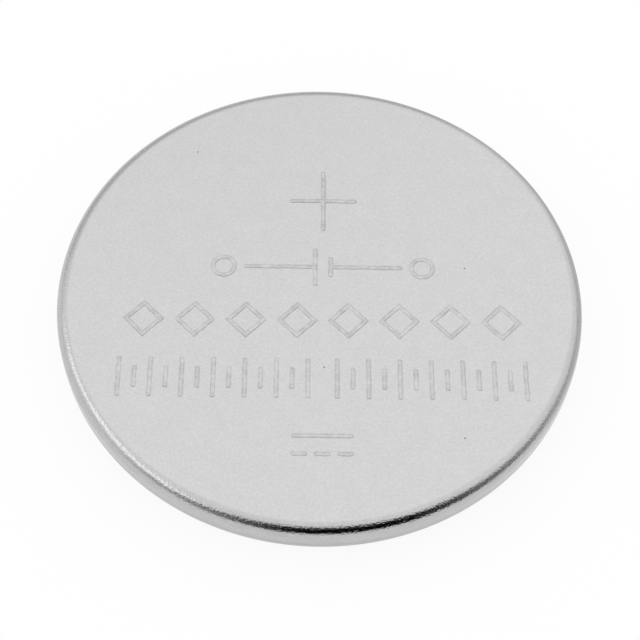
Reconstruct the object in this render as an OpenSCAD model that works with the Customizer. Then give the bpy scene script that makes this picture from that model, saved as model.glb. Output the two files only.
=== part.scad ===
// Lithium coin cell of the 20 by 2.5 mm size: a steel can with its rim crimped over a stepped steel cap,
// a plastic ring that seals and insulates the two, and the stack of discs that makes the current.
// Millimetres. The origin is the centre of the cap's outer face, and +Z points out of the can's flat face.
// Every section below is a half section: its first coordinate is the radius, its second the height.

/* [Cell] */
// Diameter over the side wall of the can
cell_d = 20; // [19:0.1:24]
// Height from the cap's outer face to the can's outer face
cell_h = 2.5; // [2.3:0.1:5]

/* [Can] */
// Sheet thickness of the can
can_wall = 0.25; // [0.2:0.01:0.3]
// Outer radius where the can's flat face turns into its side
can_corner_r = 0.5; // [0.4:0.05:0.6]

/* [Crimp] */
// Outer radius of the shoulder rolled in over the seal
shoulder_r = 1; // [0.9:0.05:1.2]
// Angle through which the shoulder is rolled
crimp_angle = 50; // [45:1:60]
// Width of the rolled rim, from the side wall in to the lip
crimp_w = 1.05; // [1:0.05:1.3]
// How far the cap's face stands beyond the lip
lip_step = 0.35; // [0.25:0.05:0.45]

/* [Sealing ring] */
// Thickness of the ring between the can and the cap
gasket_t = 0.3; // [0.25:0.01:0.35]
// Thickness of the foot under the edge of the cap
gasket_foot = 0.2; // [0.15:0.05:0.3]
// Thickness of the leg that stands inside the cap's wall
gasket_leg_t = 0.2; // [0.15:0.05:0.3]
// Space between the end of that leg and the place where the cap's wall starts to roll
gasket_leg_gap = 0.14; // [0.05:0.01:0.2]
// Width of the ring that shows between the lip and the cap
gasket_show = 0.25; // [0.2:0.01:0.35]
// How far the ring's end lies in from the lip
gasket_recess = 0.06; // [0:0.02:0.12]

/* [Cap] */
// Sheet thickness of the cap
cap_wall = 0.25; // [0.2:0.01:0.3]
// Outer radius where the cap's flat face turns into its riser
cap_corner_r = 0.35; // [0.3:0.05:0.4]
// Radius of the bend at the root of the riser
cap_bend_r = 0.15; // [0.1:0.01:0.2]

/* [Electrodes] */
// Thickness of the lithium disc pressed on the cap
anode_t = 0.45; // [0.3:0.05:0.6]
// Space between the lithium disc and the cap's riser
anode_gap = 0.65; // [0.4:0.05:1.2]
// Thickness of the separator
separator_t = 0.15; // [0.05:0.01:0.2]
// Space between the separator and the cap's riser
separator_gap = 0.1; // [0.05:0.01:0.3]
// Space between the pressed pellet and the leg of the sealing ring
cathode_gap = 1.2; // [0.8:0.05:2]

/* [Collector grid] */
// Thickness of the grid welded inside the can
collector_t = 0.1; // [0.05:0.01:0.15]
// How far the grid stops short of the pellet's edge
collector_inset = 0.3; // [0.1:0.05:1]
// Length of one diamond opening
mesh_long = 1.5; // [1:0.05:1.6]
// Width of one diamond opening
mesh_short = 0.9; // [0.6:0.05:1]
// Width of the strands between the openings
strand_w = 0.25; // [0.2:0.01:0.4]

/* [Hidden] */
$fn = 144;
// Degrees that one straight step of an arc spans.
arc_step = 10;

cell_r = cell_d / 2;

// Depths below the can's outer surface, where the layers of the crimped seal meet.
cap_depth = can_wall + gasket_t;
cap_inner_depth = cap_depth + cap_wall;

// The rolled rim ends in a straight slope. slope_out is square to that slope and points out of the cell.
slope_out = [cos(crimp_angle), -sin(crimp_angle)];
lip_r = cell_r - crimp_w;
roll_drop = (shoulder_r - can_wall - (shoulder_r - crimp_w) * cos(crimp_angle)) / sin(crimp_angle);
lip_inner = [lip_r, lip_step + can_wall * sin(crimp_angle)];
shoulder_c = [cell_r - shoulder_r, lip_inner[1] + roll_drop];

// The cap steps in from the slope to its riser, round a bend whose centre lies in the sealing ring.
riser_r = lip_r - gasket_show;
bend_x = riser_r + cap_bend_r;
bend_drop = (shoulder_r - cap_depth + cap_bend_r - (bend_x - shoulder_c[0]) * cos(crimp_angle))
    / sin(crimp_angle);
bend_c = [bend_x, shoulder_c[1] - bend_drop];

// The sealing ring's foot lies on the can's inner face and carries the edge of the cap.
can_floor = cell_h - can_wall;
cap_edge = can_floor - gasket_foot;
leg_r = cell_r - cap_inner_depth - gasket_leg_t;
leg_end = shoulder_c[1] + gasket_leg_gap;
gasket_end = lip_step + gasket_recess;
lip_cover = (lip_inner[1] - gasket_end) / sin(crimp_angle);

// The discs are stacked from the cap up to the can, and the pellet fills what the others leave.
separator_z = cap_wall + anode_t;
cathode_z = separator_z + separator_t;
collector_z = can_floor - collector_t;
cap_inner_r = riser_r - cap_wall;
cathode_r = leg_r - cathode_gap;
collector_r = cathode_r - collector_inset;

// The rounded corners of the can and of the cap turn about these points.
can_corner_c = [cell_r - can_corner_r, cell_h - can_corner_r];
cap_corner_c = [riser_r - cap_corner_r, cap_corner_r];

// Points along an arc of a half section, from one angle to another.
function arc(centre, r, from, to) =
    let (steps = ceil(abs(to - from) / arc_step))
    [for (i = [0:steps]) let (a = from + (to - from) * i / steps) centre + r * [cos(a), sin(a)]];

// The roll of one layer of the seal, that deep below the can's outer surface, from the side wall inwards.
function roll(depth) = arc(shoulder_c, shoulder_r - depth, 0, -crimp_angle);
function roll_back(depth) = arc(shoulder_c, shoulder_r - depth, -crimp_angle, 0);

// The outside can: flat positive face, drawn side and the rim crimped in over the seal.
module positive_can() {
    color("silver")
        rotate_extrude()
            polygon(concat(
                [[0, cell_h]],
                arc(can_corner_c, can_corner_r, 90, 0),
                roll(0),
                [lip_inner + can_wall * slope_out, lip_inner],
                roll_back(can_wall),
                arc(can_corner_c, can_corner_r - can_wall, 0, 90),
                [[0, can_floor]]
            ));
}

// The plastic ring that seals and insulates: a foot and a leg round the cap's edge, a wall, and a
// rolled skirt that ends in the ring seen between the lip and the cap.
module sealing_gasket() {
    color("whitesmoke")
        rotate_extrude()
            polygon(concat(
                arc(can_corner_c, can_corner_r - can_wall, 90, 0),
                roll(can_wall),
                [lip_inner, lip_inner + lip_cover * slope_out, [riser_r, gasket_end]],
                arc(bend_c, cap_bend_r, 180, 180 - crimp_angle),
                roll_back(cap_depth),
                [[cell_r - cap_depth, cap_edge], [cell_r - cap_inner_depth, cap_edge]],
                [[cell_r - cap_inner_depth, leg_end], [leg_r, leg_end], [leg_r, can_floor]]
            ));
}

// The stepped cap: flat negative face, riser, and a flange that turns up inside the sealing ring.
module negative_cap() {
    color("silver")
        rotate_extrude()
            polygon(concat(
                [[0, 0]],
                arc(cap_corner_c, cap_corner_r, -90, 0),
                arc(bend_c, cap_bend_r, 180, 180 - crimp_angle),
                roll_back(cap_depth),
                [[cell_r - cap_depth, cap_edge], [cell_r - cap_inner_depth, cap_edge]],
                roll(cap_inner_depth),
                arc(bend_c, cap_bend_r + cap_wall, 180 - crimp_angle, 180),
                arc(cap_corner_c, cap_corner_r - cap_wall, 0, -90),
                [[0, cap_wall]]
            ));
}

// The expanded steel grid that carries the current from the pellet to the can.
module cathode_collector() {
    pitch_x = mesh_long + 2 * strand_w;
    pitch_y = (mesh_short + 2 * strand_w) / 2;
    columns = ceil(collector_r / pitch_x);
    rows = ceil(collector_r / pitch_y);
    color("gray")
        translate([0, 0, collector_z])
            linear_extrude(collector_t)
                difference() {
                    circle(r = collector_r);
                    for (row = [-rows:rows], column = [-columns:columns]) {
                        x = (column + (row % 2 == 0 ? 0 : 0.5)) * pitch_x;
                        y = row * pitch_y;
                        if (norm([x, y]) + mesh_long / 2 + strand_w < collector_r)
                            translate([x, y])
                                mesh_opening();
                    }
                }
}

// One diamond opening of the grid.
module mesh_opening() {
    polygon([[-mesh_long / 2, 0], [0, -mesh_short / 2], [mesh_long / 2, 0], [0, mesh_short / 2]]);
}

// The pressed pellet of manganese dioxide.
module cathode_pellet() {
    color("dimgray")
        translate([0, 0, cathode_z])
            cylinder(r = cathode_r, h = collector_z - cathode_z);
}

// The porous sheet, soaked with electrolyte, that keeps the two electrodes apart.
module separator() {
    color("white")
        translate([0, 0, separator_z])
            cylinder(r = cap_inner_r - separator_gap, h = separator_t);
}

// The lithium disc pressed on the inside of the cap.
module lithium_anode() {
    color("lightgray")
        translate([0, 0, cap_wall])
            cylinder(r = cap_inner_r - anode_gap, h = anode_t);
}

positive_can();
sealing_gasket();
negative_cap();
cathode_collector();
cathode_pellet();
separator();
lithium_anode();
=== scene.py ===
# Lithium coin cell, plus side up: drawn steel can with a stamped face, sealing ring, cap and electrode stack.
import math

import bmesh
import bpy
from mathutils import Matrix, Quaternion, Vector, noise
from mathutils.geometry import delaunay_2d_cdt


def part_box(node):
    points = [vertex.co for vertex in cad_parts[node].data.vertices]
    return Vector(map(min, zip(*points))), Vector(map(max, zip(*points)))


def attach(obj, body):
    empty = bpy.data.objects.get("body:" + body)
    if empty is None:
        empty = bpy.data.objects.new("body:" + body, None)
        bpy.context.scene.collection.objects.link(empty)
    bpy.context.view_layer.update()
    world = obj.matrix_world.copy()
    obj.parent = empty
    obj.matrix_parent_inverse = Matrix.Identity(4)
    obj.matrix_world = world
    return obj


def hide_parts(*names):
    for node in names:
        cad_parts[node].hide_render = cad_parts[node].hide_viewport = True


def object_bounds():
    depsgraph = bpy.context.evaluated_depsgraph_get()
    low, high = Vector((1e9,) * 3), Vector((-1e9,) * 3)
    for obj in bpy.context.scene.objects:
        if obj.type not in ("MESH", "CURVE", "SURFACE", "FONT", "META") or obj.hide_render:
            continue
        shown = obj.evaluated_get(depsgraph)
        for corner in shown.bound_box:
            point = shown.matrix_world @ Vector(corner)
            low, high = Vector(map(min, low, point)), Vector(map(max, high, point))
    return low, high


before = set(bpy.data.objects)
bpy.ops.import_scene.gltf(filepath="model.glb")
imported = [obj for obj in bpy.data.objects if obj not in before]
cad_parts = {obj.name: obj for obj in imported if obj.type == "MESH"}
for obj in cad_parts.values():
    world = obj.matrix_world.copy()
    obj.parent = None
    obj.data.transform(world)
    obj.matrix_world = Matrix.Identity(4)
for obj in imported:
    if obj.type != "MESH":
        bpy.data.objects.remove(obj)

print("frame loaded:", ", ".join(sorted(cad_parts)))

mm = 0.001
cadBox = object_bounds()
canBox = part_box("positive_can")
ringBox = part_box("sealing_gasket")

# Sizes of the whole cell, read from the frame. They and all lengths below are in millimetres.
cell = {
    "radius": canBox[1].x / mm,
    "height": canBox[1].z / mm,
    "lipHeight": canBox[0].z / mm,  # how far the cap stands proud of the can's lip
    "ringEnd": ringBox[0].z / mm,   # lowest point of the sealing ring
}

# How finely everything is made.
making = {
    "turns": 288,               # steps round every turned piece
    "arcStep": 5,               # degrees for each step of a rounded corner
    "sharpAngle": 30,           # degrees at which an edge stays crisp
    "tiny": 1e-6,               # a length below this counts as nothing, in millimetres or metres
    "noiseSpan": (0.3, 0.7),    # nearly all of a noise pattern lies between these
}


# Tools

def linearColour(code):
    # An sRGB hex code as the linear colour that the shaders take.
    channels = [int(code[i:i + 2], 16) / 255 for i in (1, 3, 5)]
    return [c / 12.92 if c <= 0.04045 else ((c + 0.055) / 1.055) ** 2.4 for c in channels] + [1.0]


def addNode(tree, kind, settings=None, inputs=None):
    # Adds one node. An input is a value, or another node's output, which is then linked.
    node = tree.nodes.new(kind)
    for name, value in (settings or {}).items():
        setattr(node, name, value)
    for name, value in (inputs or {}).items():
        if isinstance(value, bpy.types.NodeSocket):
            tree.links.new(value, node.inputs[name])
        else:
            node.inputs[name].default_value = value
    return node


def newMaterial(name):
    material = bpy.data.materials.new(name)
    material.use_nodes = True
    material.node_tree.nodes.clear()
    return material, material.node_tree


def patternScale(size):
    # Texture scale for a pattern whose features are this many millimetres across.
    return 1 / (size * mm)


def shaded(tree, colour, pattern, amount, part=1.0):
    # A colour that a noise pattern lightens and darkens by up to this share, on part of the surface.
    low, high = making["noiseSpan"]
    factor = addNode(tree, "ShaderNodeMapRange", inputs={
        "Value": pattern, "From Min": low, "From Max": high, "To Min": 1 - amount, "To Max": 1 + amount})
    return addNode(tree, "ShaderNodeMix", {"data_type": "RGBA", "blend_type": "MULTIPLY"}, {
        0: part, 6: colour, 7: factor.outputs[0]}).outputs[2]


def roughened(tree, roughness, pattern, amount):
    # A roughness that a noise pattern raises and lowers by up to this much.
    low, high = making["noiseSpan"]
    change = addNode(tree, "ShaderNodeMapRange", inputs={
        "Value": pattern, "From Min": low, "From Max": high, "To Min": -amount, "To Max": amount})
    return addNode(tree, "ShaderNodeMath", {"operation": "ADD"}, {
        0: roughness, 1: change.outputs[0]}).outputs[0]


def compassPoint(turn, elevation):
    # Unit vector towards a direction from +X and an elevation, both in degrees.
    turn, tilt = math.radians(turn), math.radians(elevation)
    return Vector((math.cos(turn) * math.cos(tilt), math.sin(turn) * math.cos(tilt), math.sin(tilt)))


def arc(centre, radius, start, end):
    # Points of a half section along an arc, by angles in degrees.
    count = math.ceil(abs(end - start) / making["arcStep"])
    angles = [math.radians(start + (end - start) * i / count) for i in range(count + 1)]
    return [(centre[0] + radius * math.cos(a), centre[1] + radius * math.sin(a)) for a in angles]


def turnedRing(mesh, radius, height):
    # One ring of vertices round the axis, or a single vertex on it.
    if radius < making["tiny"]:
        return [mesh.verts.new((0, 0, height * mm))]
    angles = [2 * math.pi * i / making["turns"] for i in range(making["turns"])]
    return [mesh.verts.new((radius * mm * math.cos(a), radius * mm * math.sin(a), height * mm))
            for a in angles]


def joinRings(mesh, one, other):
    # Faces between two rings: triangles where one of them is a single vertex.
    for i in range(making["turns"]):
        j = (i + 1) % making["turns"]
        corners = [one[i % len(one)], one[j % len(one)], other[j % len(other)], other[i % len(other)]]
        mesh.faces.new(list(dict.fromkeys(corners)))


def turnOutline(mesh, outline, closed=False):
    # Turns a half section, a list of (radius, height), round the axis. A closed one ends where it began.
    rings = [turnedRing(mesh, radius, height) for radius, height in outline]
    for one, other in zip(rings, rings[1:]):
        joinRings(mesh, one, other)
    if closed:
        joinRings(mesh, rings[-1], rings[0])
    return rings


def addObject(name, data):
    thing = bpy.data.objects.new(name, data)
    bpy.context.scene.collection.objects.link(thing)
    return thing


def meshObject(name, mesh, material):
    data = bpy.data.meshes.new(name)
    mesh.to_mesh(data)
    mesh.free()
    data.materials.append(material)
    return addObject(name, data)


def addPiece(name, mesh, material, replaced):
    # Smooth shading with true edges kept, then the piece takes its node's place on the body.
    bmesh.ops.recalc_face_normals(mesh, faces=mesh.faces)
    for edge in mesh.edges:
        edge.smooth = edge.calc_face_angle(0) < math.radians(making["sharpAngle"])
    for face in mesh.faces:
        face.smooth = True
    piece = meshObject(name, mesh, material)
    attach(piece, "root")
    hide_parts(replaced)
    print(name, "built with", len(piece.data.polygons), "faces")


# Camera, from above and in front as the cell was photographed

shot = {
    "turn": -90,                # degrees from +X to the lens
    "elevation": 58.45,         # degrees above the table
    "distance": 60,             # from the aim to the lens
    "aim": (0.03, -0.557, 1.264),
    "roll": 2.06,               # degrees
    "lens": 87.73,
    "sensor": 36,
    "clip": (1.2, 6000),
}


def addCamera():
    back = compassPoint(shot["turn"], shot["elevation"])
    data = bpy.data.cameras.new("camera")
    data.lens = shot["lens"]
    data.sensor_width = shot["sensor"]
    data.clip_start, data.clip_end = [distance * mm for distance in shot["clip"]]
    camera = addObject("camera", data)
    camera.location = (Vector(shot["aim"]) + back * shot["distance"]) * mm
    roll = Quaternion((0, 0, 1), math.radians(shot["roll"]))
    camera.rotation_mode = "QUATERNION"
    camera.rotation_quaternion = back.to_track_quat("Z", "Y") @ roll
    bpy.context.scene.camera = camera


addCamera()
print("camera placed")


# Studio: a white table in a white light tent, which has a dark opening for the lens

studio = {
    "roomColour": "#FFFFFF",
    "floorColour": "#FAFAFA",
    "floorSide": 3000,
    "floorWhite": 0.9,          # share of the table's white that the contact shadow doesn't reach
    # Reflections show the table a little darker on its far side and in front, a painted shade: the share of
    # its white, and the two distances between which it drops to that.
    "farTurn": 30,              # degrees from +X
    "farWhite": (0.76, 9, 12.5),
    "frontWhite": (0.68, 12, 36),
    "tentRadius": 500,
    "tentSteps": (64, 32),      # round and from pole to pole
    "openingColour": "#060606",
    "openingTurn": -76.5,       # degrees from +X to the dark opening
    "openingHalf": 24,          # half width of its black part, in degrees
    "openingFade": 87,          # where it has faded to the tent's side walls
    "openingTop": 53,           # elevation of its top edge at the lens
    "wallTop": 12,              # and beside the back wall
    "topReach": 105,            # degrees round from the opening where the edge is down to that
    "topFade": 24,
    "wallShade": (0.08, 0.36),  # how much darker than white the left and the right wall are
    "wallShadeFrom": -0.2,      # share of the way to the right wall where it begins to darken
    "backTurn": 108,            # grey backdrop behind the table, seen as a round patch
    "backElevation": 8,
    "backReach": 34,            # its angular radius
    "backFade": 20,
    "backShade": 0.32,
    "tableLine": 0,             # elevation where the table ends
    "tableFade": 1,
    "stripTurn": 193,           # strip light on the left
    "stripElevation": 41,
    "stripDistance": 350,
    "stripSize": (380, 110),
    "stripWatts": 0.08,
}


def tablePaper():
    # Coated paper, rolled matt. It gives the eye a plain white, with only a faint shadow where the cell
    # stands.
    material, tree = newMaterial("paperCoatedMatt")
    diffuse = addNode(tree, "ShaderNodeBsdfDiffuse", inputs={"Color": linearColour(studio["floorColour"])})
    rays = addNode(tree, "ShaderNodeLightPath").outputs
    place = addNode(tree, "ShaderNodeTexCoord").outputs["Object"]
    # Reflections get a painted shade: the table's white is taken down on its far side and in front.
    paintedShade = 1.0
    for turn, white in (("farTurn", "farWhite"), ("openingTurn", "frontWhite")):
        level, start, end = studio[white]
        reach = addNode(tree, "ShaderNodeVectorMath", {"operation": "DOT_PRODUCT"}, {
            0: place, 1: compassPoint(studio[turn], 0)}).outputs["Value"]
        share = addNode(tree, "ShaderNodeMapRange", {"interpolation_type": "SMOOTHSTEP"}, {
            "Value": reach, "From Min": start * mm, "From Max": end * mm, "To Min": 1.0, "To Max": level})
        paintedShade = addNode(tree, "ShaderNodeMath", {"operation": "MULTIPLY"}, {
            0: paintedShade, 1: share.outputs[0]}).outputs[0]
    strength = addNode(tree, "ShaderNodeMix", {"data_type": "FLOAT"}, {
        0: rays["Is Glossy Ray"], 2: 1.0, 3: paintedShade}).outputs[0]
    glow = addNode(tree, "ShaderNodeEmission", inputs={"Strength": strength})
    seen = rays["Is Camera Ray"]
    for kind in ("Is Glossy Ray", "Is Transmission Ray"):
        seen = addNode(tree, "ShaderNodeMath", {"operation": "MAXIMUM"}, {
            0: seen, 1: rays[kind]}).outputs[0]
    own = addNode(tree, "ShaderNodeMath", {"operation": "MULTIPLY"}, {0: seen, 1: studio["floorWhite"]})
    both = addNode(tree, "ShaderNodeMixShader", inputs={
        0: own.outputs[0], 1: diffuse.outputs[0], 2: glow.outputs[0]})
    addNode(tree, "ShaderNodeOutputMaterial", inputs={"Surface": both.outputs[0]})
    return material


def addFloor():
    half = studio["floorSide"] / 2 * mm
    corners = [(-half, -half), (half, -half), (half, half), (-half, half)]
    mesh = bmesh.new()
    mesh.faces.new([mesh.verts.new((x, y, cadBox[0].z)) for x, y in corners])
    meshObject("floor", mesh, tablePaper())


def tentCloth():
    # Nylon, woven, white. Reflections show it clear where the white room lies behind it, grey at its walls
    # and its backdrop, and dark at the opening for the lens.
    material, tree = newMaterial("nylonWoven")
    place = addNode(tree, "ShaderNodeTexCoord").outputs["Object"]
    direction = addNode(tree, "ShaderNodeVectorMath", {"operation": "NORMALIZE"}, {0: place}).outputs[0]
    upward = addNode(tree, "ShaderNodeSeparateXYZ", inputs={0: direction}).outputs["Z"]
    elevation = addNode(tree, "ShaderNodeMath", {"operation": "ARCSINE"}, {0: upward}).outputs[0]
    flat = addNode(tree, "ShaderNodeVectorMath", {"operation": "MULTIPLY"}, {
        0: direction, 1: (1, 1, 0)})
    flat = addNode(tree, "ShaderNodeVectorMath", {"operation": "NORMALIZE"}, {
        0: flat.outputs[0]}).outputs[0]
    rightward = addNode(tree, "ShaderNodeSeparateXYZ", inputs={0: flat}).outputs["X"]
    facing = addNode(tree, "ShaderNodeVectorMath", {"operation": "DOT_PRODUCT"}, {
        0: flat, 1: compassPoint(studio["openingTurn"], 0)}).outputs["Value"]
    aside = addNode(tree, "ShaderNodeMath", {"operation": "ARCCOSINE"}, {0: facing}).outputs[0]
    # The opening is black in the middle and fades round to the shade of the walls.
    near, far, reach = [math.radians(studio[name]) for name in ("openingHalf", "openingFade", "topReach")]
    left, right = studio["wallShade"]
    wall = addNode(tree, "ShaderNodeMapRange", inputs={
        "Value": rightward, "From Min": studio["wallShadeFrom"], "From Max": 1.0,
        "To Min": left, "To Max": right}).outputs[0]
    shade = addNode(tree, "ShaderNodeMapRange", inputs={
        "Value": aside, "From Min": near, "From Max": far, "To Min": 1.0, "To Max": wall}).outputs[0]
    # Its top edge comes down from the lens to the back wall.
    top = addNode(tree, "ShaderNodeMapRange", inputs={
        "Value": aside, "From Min": near, "From Max": reach,
        "To Min": math.radians(studio["openingTop"]), "To Max": math.radians(studio["wallTop"])}).outputs[0]
    above = addNode(tree, "ShaderNodeMath", {"operation": "SUBTRACT"}, {0: elevation, 1: top}).outputs[0]
    fade = math.radians(studio["topFade"]) / 2
    under = addNode(tree, "ShaderNodeMapRange", {"interpolation_type": "SMOOTHSTEP"}, {
        "Value": above, "From Min": -fade, "From Max": fade, "To Min": 1.0, "To Max": 0.0}).outputs[0]
    opening = addNode(tree, "ShaderNodeMath", {"operation": "MULTIPLY"}, {0: under, 1: shade}).outputs[0]
    # The backdrop is a round patch with a soft edge.
    facing = addNode(tree, "ShaderNodeVectorMath", {"operation": "DOT_PRODUCT"}, {
        0: direction, 1: compassPoint(studio["backTurn"], studio["backElevation"])}).outputs["Value"]
    inner, outer = [math.cos(math.radians(studio["backReach"] + side * studio["backFade"] / 2))
                    for side in (-1, 1)]
    backdrop = addNode(tree, "ShaderNodeMapRange", {"interpolation_type": "SMOOTHSTEP"}, {
        "Value": facing, "From Min": outer, "From Max": inner,
        "To Min": 0.0, "To Max": studio["backShade"]}).outputs[0]
    # The two leave (1 - opening) (1 - backdrop) of the white, and all of it below the table's edge.
    rest = addNode(tree, "ShaderNodeMath", {"operation": "SUBTRACT"}, {0: 1.0, 1: opening}).outputs[0]
    covered = addNode(tree, "ShaderNodeMath", {"operation": "MULTIPLY_ADD"}, {
        0: rest, 1: backdrop, 2: opening}).outputs[0]
    line, soft = math.radians(studio["tableLine"]), math.radians(studio["tableFade"])
    over = addNode(tree, "ShaderNodeMapRange", {"interpolation_type": "SMOOTHSTEP"}, {
        "Value": elevation, "From Min": line, "From Max": line + soft}).outputs[0]
    dark = addNode(tree, "ShaderNodeMath", {"operation": "MULTIPLY"}, {0: covered, 1: over}).outputs[0]
    clear = addNode(tree, "ShaderNodeBsdfTransparent").outputs[0]
    black = addNode(tree, "ShaderNodeEmission", inputs={
        "Color": linearColour(studio["openingColour"])}).outputs[0]
    both = addNode(tree, "ShaderNodeMixShader", inputs={0: dark, 1: clear, 2: black})
    addNode(tree, "ShaderNodeOutputMaterial", inputs={"Surface": both.outputs[0]})
    return material


def addTent():
    # Half a sphere. Only reflections see it, so it stands in no camera's way from any side.
    around, upward = studio["tentSteps"]
    mesh = bmesh.new()
    bmesh.ops.create_uvsphere(mesh, u_segments=around, v_segments=upward, radius=studio["tentRadius"] * mm)
    below = [v for v in mesh.verts if v.co.z < -making["tiny"]]
    bmesh.ops.delete(mesh, geom=below, context="VERTS")
    tent = meshObject("light_tent", mesh, tentCloth())
    tent.visible_camera = False
    tent.visible_diffuse = False
    tent.visible_shadow = False
    tent.visible_transmission = False


def addStripLight():
    away = compassPoint(studio["stripTurn"], studio["stripElevation"])
    data = bpy.data.lights.new("strip_light", "AREA")
    data.shape = "RECTANGLE"
    data.size, data.size_y = [side * mm for side in studio["stripSize"]]
    data.energy = studio["stripWatts"]
    strip = addObject("strip_light", data)
    strip.location = away * studio["stripDistance"] * mm
    strip.rotation_mode = "QUATERNION"
    strip.rotation_quaternion = away.to_track_quat("Z", "Y")


def addWorld():
    # The white room behind the tent.
    world = bpy.data.worlds.new("white_room")
    world.use_nodes = True
    tree = world.node_tree
    tree.nodes.clear()
    light = addNode(tree, "ShaderNodeBackground", inputs={
        "Color": linearColour(studio["roomColour"]), "Strength": 1.0})
    addNode(tree, "ShaderNodeOutputWorld", inputs={"Surface": light.outputs[0]})
    bpy.context.scene.world = world


bpy.context.scene.view_settings.view_transform = "Standard"
addFloor()
addTent()
addStripLight()
addWorld()
print("studio lit")


# Drawn can with its stamped face

canSheet = {
    "wall": 0.25,
    "cornerRadius": 0.5,
    "shoulderRadius": 1.0,
    "crimpAngle": 50,           # degrees through which the shoulder is rolled
    "crimpWidth": 1.05,         # from the side wall in to the lip
    "lipRounding": 0.03,        # the crimping die breaks the sheared edge a little
    # The corner, wall and roll are coloured darker than the face in turn, a painted shade for the darker room
    # and the shadowed table that they reflect.
    "faceColour": "#D5D5D5",
    "cornerShadedColour": "#C7C7C7",
    "wallShadedColour": "#BEBEBE",
    "rollShadedColour": "#A9A9A9",    # painted shade: darker still, for the shadowed table beside the cell that the shoulder reflects
    "rollShadeFade": 0.25,           # how far above and below the roll's start the painted shade comes in
    "edgeTint": 0.92,           # steel reflects less at a grazing angle than plain Fresnel gives
    "faceRoughness": 0.29,
    "wallRoughness": 0.15,
    "roughSpread": 0.015,
    "faceTilt": (0.5, 16),      # degrees of tilt in which the face's colour passes into the corner's
    "cornerTilt": (17, 32),     # the corner's into the wall's
    "roughTilt": (3, 21),       # and the matt face into burnished steel
    "grainSize": 0.09,          # coarser than the strip's real grain, which wouldn't show
    "grainDepth": 0.0014,
    "grainShade": 0.058,        # how far the grain lightens and darkens the steel
    "mottleSize": 0.8,
    "mottleShade": 0.02,
    "peelSize": 0.07,           # the drawn corner has a fine orange peel
    "peelDepth": 0.0115,
    "peelTilt": (55, 85),       # it eases off where the straight wall begins
    "wallPeel": 0.65,           # share of it left on the wall
    "drawLineWidth": 0.035,     # lines that the drawing die left round the wall, coarser than real
    "drawLineLength": 0.6,
    "drawLineDepth": 0.002,
    "drawLineShade": 0.06,
    "pitSpacing": 2.6,          # specks of dirt and small pits
    "pitSize": 0.04,
    "pitShare": 0.14,           # share of them that can be seen
    "pitColour": "#6E6E6E",
}

# The stamp: a plus, the circuit sign of a cell, a row of lozenges, two rows of bars and the sign of direct
# current.
stamp = {
    "turn": 1.5,                # degrees that the die stood askew to the camera
    "centre": 0.1,              # how far it stood off the axis
    "halfStroke": 0.09,
    "tipRounding": 0.55,        # share of the half stroke
    "tipStep": 30,              # degrees between points round a tip
    "roundStep": 10,            # and round a ring
    "pointStep": 0.05,          # between points along a stroke, so that it can waver
    "waverSize": 0.2,
    "waver": 0.02,
    "waverShift": 9.5,          # how far off in the pattern the other way of wavering is taken
    "guard": 0.08,              # ring of points that keeps the face flat beside its rim
    "merge": 1e-7,              # points nearer than this are one
    "depth": 0.011,
    # Across a stroke: the inset from its edge, the share of the depth, the share of the painted shade in the
    # recess.
    "profile": [(-0.02, 0, 0), (0, 0, 0.4), (0.008, 0.14, 0.9), (0.02, 0.5, 1), (0.032, 0.86, 0.9),
                (0.04, 1, 0.6), (0.055, 1, 0.45)],
    "plusDepth": 1.4,           # the plus is struck deeper than the rest, with a stronger painted shade
    "colour": "#B8B8B8",        # painted shade of a stroke's recess at its fullest
    "patchSize": 0.32,          # patches in which that painted shade is stronger or weaker
    "patchSpan": (0.38, 0.62),  # part of their noise that goes from no painted shade to the most
    "patchMost": 1.25,
    "plus": {"height": 4.18, "arms": (1.31, 1.43)},
    "cellSign": {"height": 1.07, "half": 4.3, "terminal": 0.5, "gap": 0.3, "plates": (0.86, 0.45),
                 "clear": 3},   # half strokes between a wire and its terminal
    "lozenges": {"height": -1.33, "count": 8, "pitch": 1.92, "half": (0.78, 0.8)},
    "bars": {"height": -3.83, "count": 13, "pitch": 0.58, "gap": 0.9, "halves": (0.84, 0.45)},
    "current": {"height": -6.55, "half": 1.12, "rise": 0.36, "dash": 0.2},
}


def canPlaces():
    # Where the can's corner, its rolled shoulder and its lip lie, as (radius, height).
    angle = math.radians(canSheet["crimpAngle"])
    across, down = math.cos(angle), -math.sin(angle)
    wall, corner = canSheet["wall"], canSheet["cornerRadius"]
    roll, width = canSheet["shoulderRadius"], canSheet["crimpWidth"]
    lip = (cell["radius"] - width, cell["lipHeight"] - wall * down)
    drop = (roll - wall - (roll - width) * across) / -down
    return {
        "slope": (across, down),    # square to the slope of the rim, out of the cell
        "lip": lip,
        "shoulder": (cell["radius"] - roll, lip[1] + drop),
        "corner": (cell["radius"] - corner, cell["height"] - corner),
        "floor": cell["height"] - wall,
    }


canAt = canPlaces()


def rolled(depth):
    # The rolled shoulder at a depth below the can's skin, from the side wall in to the slope.
    return arc(canAt["shoulder"], canSheet["shoulderRadius"] - depth, 0, -canSheet["crimpAngle"])


def canOutline():
    slope, wall, edge = canAt["slope"], canSheet["wall"], canSheet["lipRounding"]
    along = (-slope[1], slope[0])
    back = 180 - canSheet["crimpAngle"]
    # Centres of the two roundings of the lip.
    outer, inner = [[canAt["lip"][i] + out * slope[i] + edge * along[i] for i in (0, 1)]
                    for out in (wall - edge, edge)]
    return (arc(canAt["corner"], canSheet["cornerRadius"], 90, 0) + rolled(0)
            + arc(outer, edge, back - 180, back - 270) + arc(inner, edge, back - 270, back - 360)
            + rolled(wall)[::-1] + arc(canAt["corner"], canSheet["cornerRadius"] - wall, 0, 90)
            + [(0, canAt["floor"])])


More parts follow.
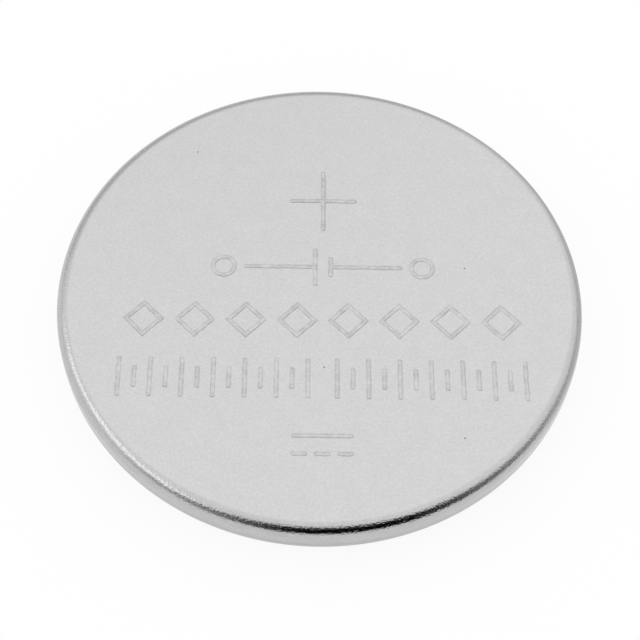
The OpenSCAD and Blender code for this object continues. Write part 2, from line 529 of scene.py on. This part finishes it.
def starLine(centre, arms, half):
    # Outline of strokes that leave one point: arms are (angle in degrees, length), sorted by angle.
    line = []
    corner = half * stamp["tipRounding"]
    for i, (angle, length) in enumerate(arms):
        turn = math.radians(angle)
        tip = length + half - stamp["halfStroke"] - corner
        for side, first in ((-1, -90), (1, 0)):
            for a in range(first, first + 91, stamp["tipStep"]):
                out = tip + corner * math.cos(math.radians(a))
                off = side * (half - corner) + corner * math.sin(math.radians(a))
                line.append((centre[0] + out * math.cos(turn) - off * math.sin(turn),
                             centre[1] + out * math.sin(turn) + off * math.cos(turn)))
        gap = (arms[(i + 1) % len(arms)][0] - angle) % 360
        if 0 < gap < 179:       # two arms that aren't in line meet in a corner
            middle, reach = turn + math.radians(gap / 2), half / math.sin(math.radians(gap / 2))
            line.append((centre[0] + reach * math.cos(middle), centre[1] + reach * math.sin(middle)))
    return line


def barLine(centre, half, length, upright=True):
    angle = 90 if upright else 0
    return starLine(centre, [(angle, length), (angle + 180, length)], half)


def roundLine(centre, radius):
    angles = [math.radians(a) for a in range(0, 360, stamp["roundStep"])]
    return [(centre[0] + radius * math.cos(a), centre[1] + radius * math.sin(a)) for a in angles]


def lozengeLine(centre, across, upright, grow):
    # A lozenge whose sides are moved out by grow.
    reach = grow * math.hypot(across, upright)
    wide, tall = across + reach / upright, upright + reach / across
    return [(centre[0] + wide, centre[1]), (centre[0], centre[1] + tall),
            (centre[0] - wide, centre[1]), (centre[0], centre[1] - tall)]


def stampLines(half):
    # Every outline of the stamp at one half width of the stroke, the plus first.
    full = stamp["halfStroke"]
    plus = stamp["plus"]
    wide, tall = plus["arms"]
    lines = [starLine((0, plus["height"]), [(0, wide), (90, tall), (180, wide), (270, tall)], half)]
    # The sign of a cell has on each side a plate, a wire that leaves it, and a round terminal.
    sign = stamp["cellSign"]
    lead = sign["half"] - 2 * sign["terminal"] - sign["clear"] * full - sign["gap"]
    for side, plate in zip((-1, 1), sign["plates"]):
        out = 0 if side > 0 else 180
        middle = (side * sign["gap"], sign["height"])
        lines.append(starLine(middle, sorted([(out, lead), (90, plate), (270, plate)]), half))
        end = (side * (sign["half"] - sign["terminal"]), sign["height"])
        lines += [roundLine(end, sign["terminal"] - full + grow) for grow in (half, -half)]
    lozenges = stamp["lozenges"]
    for i in range(lozenges["count"]):
        centre = ((i - (lozenges["count"] - 1) / 2) * lozenges["pitch"], lozenges["height"])
        lines += [lozengeLine(centre, *lozenges["half"], grow - full) for grow in (half, -half)]
    bars = stamp["bars"]
    for side in (-1, 1):
        for i in range(bars["count"]):
            across = side * (bars["gap"] / 2 + full + i * bars["pitch"])
            lines.append(barLine((across, bars["height"]), half, bars["halves"][i % 2]))
    current = stamp["current"]
    upper, lower = current["height"] + current["rise"], current["height"] - current["rise"]
    lines.append(barLine((0, upper), half, current["half"], upright=False))
    for i in (-1, 0, 1):
        across = i * (current["half"] - current["dash"] - full)
        lines.append(barLine((across, lower), half, current["dash"] + full, upright=False))
    return lines


def asStruck(line):
    # An outline as the die left it: turned with the stamp and wavering a little.
    turn = math.radians(stamp["turn"])
    shift = Vector((0, 0, stamp["waverShift"]))
    points = []
    for (x0, y0), (x1, y1) in zip(line, line[1:] + line[:1]):
        steps = max(1, round(math.hypot(x1 - x0, y1 - y0) / stamp["pointStep"]))
        for i in range(steps):
            x = x0 + (x1 - x0) * i / steps + stamp["centre"]
            y = y0 + (y1 - y0) * i / steps
            place = Vector((x, y, 0)) / stamp["waverSize"]
            x += noise.noise(place) * stamp["waver"]
            y += noise.noise(place + shift) * stamp["waver"]
            points.append((x * math.cos(turn) - y * math.sin(turn), x * math.sin(turn) + y * math.cos(turn)))
    return points


def stampFace(mesh, rim, marks):
    # Fills the can's flat face inside the rim, with every stroke of the stamp sunk into it.
    top = cell["height"]
    points, edges, heights, recessShades = [], [], [], []

    def addLoop(line, height, recessShade):
        first = len(points)
        points.extend(Vector(p) for p in line)
        heights.extend([height] * len(line))
        recessShades.extend([recessShade] * len(line))
        edges.extend((first + i, first + (i + 1) % len(line)) for i in range(len(line)))

    addLoop([(v.co.x / mm, v.co.y / mm) for v in rim], top, 0)
    inside = 1 - stamp["guard"] / canAt["corner"][0]
    addLoop([(v.co.x / mm * inside, v.co.y / mm * inside) for v in rim], top, 0)
    # Every loop of the profile keeps its share of the painted shade in the recess as a vertex value.
    for inset, share, recessShade in stamp["profile"]:
        for i, line in enumerate(stampLines(stamp["halfStroke"] - inset)):
            harder = 1 if i else stamp["plusDepth"]
            addLoop(asStruck(line), top - share * (stamp["depth"] * harder), recessShade * harder)
    flat, _, triangles, source, _, _ = delaunay_2d_cdt(points, edges, [], 1, stamp["merge"])
    if len(flat) != len(points) or not all(source):
        raise ValueError("two strokes of the stamp cross or touch")
    made = []
    for place, ids in zip(flat, source):
        if ids[0] < len(rim):
            made.append(rim[ids[0]])
            continue
        vertex = mesh.verts.new((place.x * mm, place.y * mm, heights[ids[0]] * mm))
        vertex[marks] = recessShades[ids[0]]
        made.append(vertex)
    for corners in triangles:
        mesh.faces.new([made[i] for i in corners])


def canSteel():
    # Nickel-plated stainless strip. The flat face keeps the strip's fine matt grain and looks an even soft
    # grey; the drawn corner and wall were burnished by the die and mirror the room in soft bands.
    material, tree = newMaterial("nickelPlatedSteelDrawn")
    place = addNode(tree, "ShaderNodeTexCoord").outputs["Object"]
    normal = addNode(tree, "ShaderNodeNewGeometry").outputs["Normal"]
    upward = addNode(tree, "ShaderNodeSeparateXYZ", inputs={0: normal}).outputs["Z"]
    tilt = addNode(tree, "ShaderNodeMath", {"operation": "ARCCOSINE"}, {0: upward}).outputs[0]
    pastFace, pastCorner, burnished, pastPeel = [
        addNode(tree, "ShaderNodeMapRange", {"interpolation_type": "SMOOTHSTEP"}, {
            "Value": tilt, "From Min": math.radians(canSheet[name][0]),
            "From Max": math.radians(canSheet[name][1])}).outputs[0]
        for name in ("faceTilt", "cornerTilt", "roughTilt", "peelTilt")]
    mottle = addNode(tree, "ShaderNodeTexNoise", inputs={
        "Vector": place, "Scale": patternScale(canSheet["mottleSize"]),
        "Detail": 4.0, "Roughness": 0.65}).outputs[0]
    grain = addNode(tree, "ShaderNodeTexNoise", inputs={
        "Vector": place, "Scale": patternScale(canSheet["grainSize"]),
        "Detail": 2.0, "Roughness": 0.6}).outputs[0]
    # The draw lines run round the wall: thin in height, long along it.
    along, thin = patternScale(canSheet["drawLineLength"]), patternScale(canSheet["drawLineWidth"])
    stretched = addNode(tree, "ShaderNodeVectorMath", {"operation": "MULTIPLY"}, {
        0: place, 1: (along, along, thin)}).outputs[0]
    lines = addNode(tree, "ShaderNodeTexNoise", inputs={
        "Vector": stretched, "Scale": 1.0, "Detail": 3.0, "Roughness": 0.6}).outputs[0]
    # The face passes into the corner, the corner into the wall, and the wall into the roll. Each is coloured
    # darker than the last, a painted shade for the darker room and the shadowed table that they reflect.
    height = addNode(tree, "ShaderNodeSeparateXYZ", inputs={0: place}).outputs["Z"]
    roll, fade = canAt["shoulder"][1] * mm, canSheet["rollShadeFade"] * mm
    aboveRoll = addNode(tree, "ShaderNodeMapRange", {"interpolation_type": "SMOOTHSTEP"}, {
        "Value": height, "From Min": roll - fade, "From Max": roll + fade}).outputs[0]
    wall = addNode(tree, "ShaderNodeMix", {"data_type": "RGBA"}, {
        0: aboveRoll, 6: linearColour(canSheet["rollShadedColour"]),
        7: linearColour(canSheet["wallShadedColour"])}).outputs[2]
    corner = addNode(tree, "ShaderNodeMix", {"data_type": "RGBA"}, {
        0: pastFace, 6: linearColour(canSheet["faceColour"]),
        7: linearColour(canSheet["cornerShadedColour"])}).outputs[2]
    colour = addNode(tree, "ShaderNodeMix", {"data_type": "RGBA"}, {
        0: pastCorner, 6: corner, 7: wall}).outputs[2]
    # The stamp's strokes are coloured darker in their recesses, a painted shade, stronger in some random
    # patches than in others.
    recessShade = addNode(tree, "ShaderNodeAttribute", {"attribute_name": "paintedRecessShade"}).outputs["Fac"]
    patches = addNode(tree, "ShaderNodeTexNoise", inputs={
        "Vector": place, "Scale": patternScale(stamp["patchSize"]),
        "Detail": 4.0, "Roughness": 0.7}).outputs[0]
    low, high = stamp["patchSpan"]
    patchShade = addNode(tree, "ShaderNodeMapRange", inputs={
        "Value": patches, "From Min": low, "From Max": high, "To Max": stamp["patchMost"]}).outputs[0]
    recessShadeShare = addNode(tree, "ShaderNodeMath", {"operation": "MULTIPLY"}, {0: recessShade, 1: patchShade}).outputs[0]
    colour = addNode(tree, "ShaderNodeMix", {"data_type": "RGBA"}, {
        0: recessShadeShare, 6: colour, 7: linearColour(stamp["colour"])}).outputs[2]
    # A few dark specks lie on the face.
    pits = addNode(tree, "ShaderNodeTexVoronoi", {"voronoi_dimensions": "2D"}, {
        "Vector": place, "Scale": patternScale(canSheet["pitSpacing"])})
    across = canSheet["pitSize"] / canSheet["pitSpacing"]
    spot = addNode(tree, "ShaderNodeMapRange", {"interpolation_type": "SMOOTHSTEP"}, {
        "Value": pits.outputs["Distance"], "From Min": across / 2, "From Max": across,
        "To Min": 1.0, "To Max": 0.0}).outputs[0]
    chance = addNode(tree, "ShaderNodeSeparateXYZ", inputs={0: pits.outputs["Color"]}).outputs["X"]
    kept = addNode(tree, "ShaderNodeMath", {"operation": "LESS_THAN"}, {
        0: chance, 1: canSheet["pitShare"]}).outputs[0]
    kept = addNode(tree, "ShaderNodeMath", {"operation": "SUBTRACT"}, {0: kept, 1: pastCorner}).outputs[0]
    spot = addNode(tree, "ShaderNodeMath", {"operation": "MULTIPLY", "use_clamp": True}, {
        0: spot, 1: kept}).outputs[0]
    colour = addNode(tree, "ShaderNodeMix", {"data_type": "RGBA"}, {
        0: spot, 6: colour, 7: linearColour(canSheet["pitColour"])}).outputs[2]
    colour = shaded(tree, colour, mottle, canSheet["mottleShade"])
    colour = shaded(tree, colour, grain, canSheet["grainShade"])
    colour = shaded(tree, colour, lines, canSheet["drawLineShade"], pastCorner)
    rough = addNode(tree, "ShaderNodeMapRange", inputs={
        "Value": burnished, "To Min": canSheet["faceRoughness"],
        "To Max": canSheet["wallRoughness"]}).outputs[0]
    rough = roughened(tree, rough, mottle, canSheet["roughSpread"])
    # Relief in millimetres: the strip's grain all over, with orange peel and draw lines on corner and wall.
    relief = addNode(tree, "ShaderNodeMath", {"operation": "MULTIPLY"}, {
        0: grain, 1: canSheet["grainDepth"]}).outputs[0]
    peel = addNode(tree, "ShaderNodeTexNoise", inputs={
        "Vector": place, "Scale": patternScale(canSheet["peelSize"]),
        "Detail": 1.0, "Roughness": 0.4}).outputs[0]
    peelPart = addNode(tree, "ShaderNodeMapRange", inputs={
        "Value": pastPeel, "To Min": 1.0, "To Max": canSheet["wallPeel"]}).outputs[0]
    peelPart = addNode(tree, "ShaderNodeMath", {"operation": "MULTIPLY"}, {
        0: burnished, 1: peelPart}).outputs[0]
    for pattern, depth, part in ((peel, canSheet["peelDepth"], peelPart),
                                 (lines, canSheet["drawLineDepth"], burnished)):
        swell = addNode(tree, "ShaderNodeMapRange", inputs={
            "Value": pattern, "To Min": -depth / 2, "To Max": depth / 2}).outputs[0]
        relief = addNode(tree, "ShaderNodeMath", {"operation": "MULTIPLY_ADD"}, {
            0: swell, 1: part, 2: relief}).outputs[0]
    bump = addNode(tree, "ShaderNodeBump", inputs={
        "Strength": 1.0, "Distance": mm, "Height": relief}).outputs[0]
    shader = addNode(tree, "ShaderNodeBsdfPrincipled", inputs={
        "Base Color": colour, "Metallic": 1.0, "Roughness": rough, "Normal": bump,
        "Specular Tint": [canSheet["edgeTint"]] * 3 + [1.0]})
    addNode(tree, "ShaderNodeOutputMaterial", inputs={"Surface": shader.outputs[0]})
    return material


def buildCan():
    mesh = bmesh.new()
    marks = mesh.verts.layers.float.new("paintedRecessShade")
    rim = turnOutline(mesh, canOutline())[0]
    stampFace(mesh, rim, marks)
    addPiece("drawn_can", mesh, canSteel(), "positive_can")


buildCan()


# Sealing ring, of which only the rolled end shows round the cap

sealingRing = {
    "thickness": 0.3,
    "show": 0.25,               # width that shows between the lip and the cap
    "foot": 0.2,
    "leg": 0.2,
    "legGap": 0.14,             # from the shoulder's centre up to the leg's end
    "colour": "#DFDFDA",
    "shade": "#D4D3CC",
    "roughness": 0.45,
    "ior": 1.49,
    "flowSize": 0.5,
    "bumpDepth": 0.002,
}

# Pressed cap under the cell. Its sizes stand here because the ring lies round its bend and its flange.

capSheet = {
    "wall": 0.25,
    "cornerRadius": 0.35,
    "bendRadius": 0.15,
    "edgeRounding": 0.03,
    "colour": "#D2D2D1",
    "darkColour": "#CACAC9",
    "riserColour": "#C0C0BF",
    "faceTilt": (2, 25),        # degrees of tilt in which the face passes into the polished corner and riser
    "roughness": (0.38, 0.2),
    "roughSpread": 0.04,
    "rollLineWidth": 0.045,     # the strip's rolling lines, coarser than real
    "rollLineLength": 2.2,
    "rollLineDepth": 0.0012,
    "rollLineShade": 0.03,
    "mottleSize": 0.8,
    "mottleSpan": (0.25, 0.75), # part of the mottle's noise that goes from one colour to the other
    "grainSize": 0.09,          # coarser than real, as on the can
    "grainShade": 0.04,
    "grainDepth": 0.001,
}


def capPlaces():
    # The bend at the root of the cap's riser lies in the ring, and its centre sets both pieces.
    across, down = canAt["slope"]
    depth = canSheet["wall"] + sealingRing["thickness"]
    riser = canAt["lip"][0] - sealingRing["show"]
    bend = capSheet["bendRadius"]
    drop = (canSheet["shoulderRadius"] - depth + bend
            - (riser + bend - canAt["shoulder"][0]) * across) / -down
    return {
        "depth": depth,             # of the flange below the can's skin
        "riser": riser,
        "bend": (riser + bend, canAt["shoulder"][1] - drop),
        "corner": (riser - capSheet["cornerRadius"], capSheet["cornerRadius"]),
        "edge": canAt["floor"] - sealingRing["foot"],
        "outer": cell["radius"] - depth,
        "inner": cell["radius"] - depth - capSheet["wall"],
    }


capAt = capPlaces()


def ringOutline():
    slope, lip = canAt["slope"], canAt["lip"]
    cover = (lip[1] - cell["ringEnd"]) / -slope[1]
    end = (lip[0] + cover * slope[0], lip[1] + cover * slope[1])
    leg = capAt["inner"] - sealingRing["leg"]
    legEnd = canAt["shoulder"][1] + sealingRing["legGap"]
    return (arc(canAt["corner"], canSheet["cornerRadius"] - canSheet["wall"], 90, 0)
            + rolled(canSheet["wall"]) + [lip, end, (capAt["riser"], cell["ringEnd"])]
            + arc(capAt["bend"], capSheet["bendRadius"], 180, 180 - canSheet["crimpAngle"])
            + rolled(capAt["depth"])[::-1]
            + [(capAt["outer"], capAt["edge"]), (capAt["inner"], capAt["edge"]),
               (capAt["inner"], legEnd), (leg, legEnd), (leg, canAt["floor"])])


def ringPlastic():
    # Natural polypropylene, injection moulded. Milky and a little waxy, with faint flow clouds.
    material, tree = newMaterial("polypropyleneMoulded")
    place = addNode(tree, "ShaderNodeTexCoord").outputs["Object"]
    flow = addNode(tree, "ShaderNodeTexNoise", inputs={
        "Vector": place, "Scale": patternScale(sealingRing["flowSize"]), "Detail": 3.0}).outputs[0]
    colour = addNode(tree, "ShaderNodeMix", {"data_type": "RGBA"}, {
        0: flow, 6: linearColour(sealingRing["colour"]), 7: linearColour(sealingRing["shade"])}).outputs[2]
    bump = addNode(tree, "ShaderNodeBump", inputs={
        "Strength": 1.0, "Distance": sealingRing["bumpDepth"] * mm, "Height": flow}).outputs[0]
    shader = addNode(tree, "ShaderNodeBsdfPrincipled", inputs={
        "Base Color": colour, "Roughness": sealingRing["roughness"], "IOR": sealingRing["ior"],
        "Normal": bump})
    addNode(tree, "ShaderNodeOutputMaterial", inputs={"Surface": shader.outputs[0]})
    return material


def buildRing():
    mesh = bmesh.new()
    turnOutline(mesh, ringOutline(), closed=True)
    addPiece("moulded_ring", mesh, ringPlastic(), "sealing_gasket")


buildRing()


def capOutline():
    back = 180 - canSheet["crimpAngle"]
    bend, wall, edge = capSheet["bendRadius"], capSheet["wall"], capSheet["edgeRounding"]
    return ([(0, 0)] + arc(capAt["corner"], capSheet["cornerRadius"], -90, 0)
            + arc(capAt["bend"], bend, 180, back) + rolled(capAt["depth"])[::-1]
            + arc((capAt["outer"] - edge, capAt["edge"] - edge), edge, 0, 90)
            + arc((capAt["inner"] + edge, capAt["edge"] - edge), edge, 90, 180)
            + rolled(capAt["depth"] + wall)
            + arc(capAt["bend"], bend + wall, back, 180)
            + arc(capAt["corner"], capSheet["cornerRadius"] - wall, 0, -90) + [(0, wall)])


def capSteel():
    # Nickel-plated stainless strip, pressed. The outer face keeps the strip's straight rolling lines as a
    # satin sheen, and the press polished its corner and riser.
    material, tree = newMaterial("nickelPlatedSteelPressed")
    place = addNode(tree, "ShaderNodeTexCoord").outputs["Object"]
    normal = addNode(tree, "ShaderNodeNewGeometry").outputs["Normal"]
    level = addNode(tree, "ShaderNodeSeparateXYZ", inputs={0: normal}).outputs["Z"]
    level = addNode(tree, "ShaderNodeMath", {"operation": "ABSOLUTE"}, {0: level}).outputs[0]
    tilt = addNode(tree, "ShaderNodeMath", {"operation": "ARCCOSINE"}, {0: level}).outputs[0]
    start, end = capSheet["faceTilt"]
    riser = addNode(tree, "ShaderNodeMapRange", {"interpolation_type": "SMOOTHSTEP"}, {
        "Value": tilt, "From Min": math.radians(start), "From Max": math.radians(end)}).outputs[0]
    along, thin = patternScale(capSheet["rollLineLength"]), patternScale(capSheet["rollLineWidth"])
    stretched = addNode(tree, "ShaderNodeVectorMath", {"operation": "MULTIPLY"}, {
        0: place, 1: (along, thin, thin)}).outputs[0]
    lines = addNode(tree, "ShaderNodeTexNoise", inputs={
        "Vector": stretched, "Scale": 1.0, "Detail": 3.0, "Roughness": 0.6}).outputs[0]
    mottle = addNode(tree, "ShaderNodeTexNoise", inputs={
        "Vector": place, "Scale": patternScale(capSheet["mottleSize"]),
        "Detail": 4.0, "Roughness": 0.65}).outputs[0]
    grain = addNode(tree, "ShaderNodeTexNoise", inputs={
        "Vector": place, "Scale": patternScale(capSheet["grainSize"]),
        "Detail": 2.0, "Roughness": 0.6}).outputs[0]
    low, high = capSheet["mottleSpan"]
    blend = addNode(tree, "ShaderNodeMapRange", inputs={
        "Value": mottle, "From Min": low, "From Max": high}).outputs[0]
    colour = addNode(tree, "ShaderNodeMix", {"data_type": "RGBA"}, {
        0: blend, 6: linearColour(capSheet["colour"]), 7: linearColour(capSheet["darkColour"])}).outputs[2]
    colour = addNode(tree, "ShaderNodeMix", {"data_type": "RGBA"}, {
        0: riser, 6: colour, 7: linearColour(capSheet["riserColour"])}).outputs[2]
    colour = shaded(tree, colour, lines, capSheet["rollLineShade"])
    colour = shaded(tree, colour, grain, capSheet["grainShade"])
    faceRough, riserRough = capSheet["roughness"]
    rough = addNode(tree, "ShaderNodeMapRange", inputs={
        "Value": riser, "To Min": faceRough, "To Max": riserRough}).outputs[0]
    rough = roughened(tree, rough, lines, capSheet["roughSpread"])
    relief = addNode(tree, "ShaderNodeMath", {"operation": "MULTIPLY"}, {
        0: lines, 1: capSheet["rollLineDepth"]}).outputs[0]
    relief = addNode(tree, "ShaderNodeMath", {"operation": "MULTIPLY_ADD"}, {
        0: grain, 1: capSheet["grainDepth"], 2: relief}).outputs[0]
    bump = addNode(tree, "ShaderNodeBump", inputs={
        "Strength": 1.0, "Distance": mm, "Height": relief}).outputs[0]
    shader = addNode(tree, "ShaderNodeBsdfPrincipled", inputs={
        "Base Color": colour, "Metallic": 1.0, "Roughness": rough, "Normal": bump})
    addNode(tree, "ShaderNodeOutputMaterial", inputs={"Surface": shader.outputs[0]})
    return material


def buildCap():
    mesh = bmesh.new()
    turnOutline(mesh, capOutline())
    addPiece("pressed_cap", mesh, capSteel(), "negative_cap")


buildCap()


# Electrode stack, sealed inside. Its pieces keep the frame's own meshes.

stack = {
    "blendSpan": (0.35, 0.65),  # part of a piece's noise that goes from one colour to the other
    "roughSpread": 0.06,
}


def patternedMaterial(name, finish):
    # One noise drives colour, roughness and height.
    material, tree = newMaterial(name)
    place = addNode(tree, "ShaderNodeTexCoord").outputs["Object"]
    scale = [patternScale(finish["size"] * share) for share in finish["stretch"]]
    place = addNode(tree, "ShaderNodeVectorMath", {"operation": "MULTIPLY"}, {0: place, 1: scale}).outputs[0]
    pattern = addNode(tree, "ShaderNodeTexNoise", inputs={
        "Vector": place, "Scale": 1.0, "Detail": 4.0}).outputs[0]
    low, high = stack["blendSpan"]
    blend = addNode(tree, "ShaderNodeMapRange", inputs={
        "Value": pattern, "From Min": low, "From Max": high}).outputs[0]
    one, other = [linearColour(code) for code in finish["colours"]]
    colour = addNode(tree, "ShaderNodeMix", {"data_type": "RGBA"}, {
        0: blend, 6: one, 7: other}).outputs[2]
    rough = roughened(tree, finish["roughness"], pattern, stack["roughSpread"])
    bump = addNode(tree, "ShaderNodeBump", inputs={
        "Strength": 1.0, "Distance": finish["depth"] * mm, "Height": pattern}).outputs[0]
    shader = addNode(tree, "ShaderNodeBsdfPrincipled", inputs={
        "Base Color": colour, "Metallic": finish["metallic"], "Roughness": rough, "Normal": bump})
    addNode(tree, "ShaderNodeOutputMaterial", inputs={"Surface": shader.outputs[0]})
    return material


def dressNode(node, material):
    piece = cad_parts[node]
    piece.data.materials.clear()
    piece.data.materials.append(material)
    print(node, "dressed")


# Expanded stainless steel: a dull sheen with fine die marks.
collector = {
    "colours": ("#9C9C9B", "#868685"),
    "size": 0.05,               # width of a die mark
    "stretch": (4, 1, 1),
    "depth": 0.002,
    "roughness": 0.38,
    "metallic": 1.0,
}
dressNode("cathode_collector", patternedMaterial("stainlessSteelExpanded", collector))

# Manganese dioxide and graphite, pressed dry: black and matt, with a faint glitter of graphite.
pellet = {
    "colours": ("#141414", "#3A3A3B"),
    "size": 0.06,               # coarser than the real powder
    "stretch": (1, 1, 1),
    "depth": 0.006,
    "roughness": 0.7,
    "metallic": 0.0,
}
dressNode("cathode_pellet", patternedMaterial("manganeseDioxidePressed", pellet))

# Non-woven polypropylene: white felted fibres.
fleece = {
    "colours": ("#EDEDE8", "#DADAD3"),
    "size": 0.03,               # width of a fibre
    "stretch": (12, 1, 1),
    "depth": 0.01,
    "roughness": 0.85,
    "metallic": 0.0,
}
dressNode("separator", patternedMaterial("polypropyleneNonWoven", fleece))

# Lithium foil, rolled soft metal with a dull tarnish.
lithium = {
    "colours": ("#C8CACD", "#A9ABB0"),
    "size": 0.12,               # width of a rolling mark
    "stretch": (9, 1, 1),
    "depth": 0.004,
    "roughness": 0.5,
    "metallic": 1.0,
}
dressNode("lithium_anode", patternedMaterial("lithiumRolled", lithium))
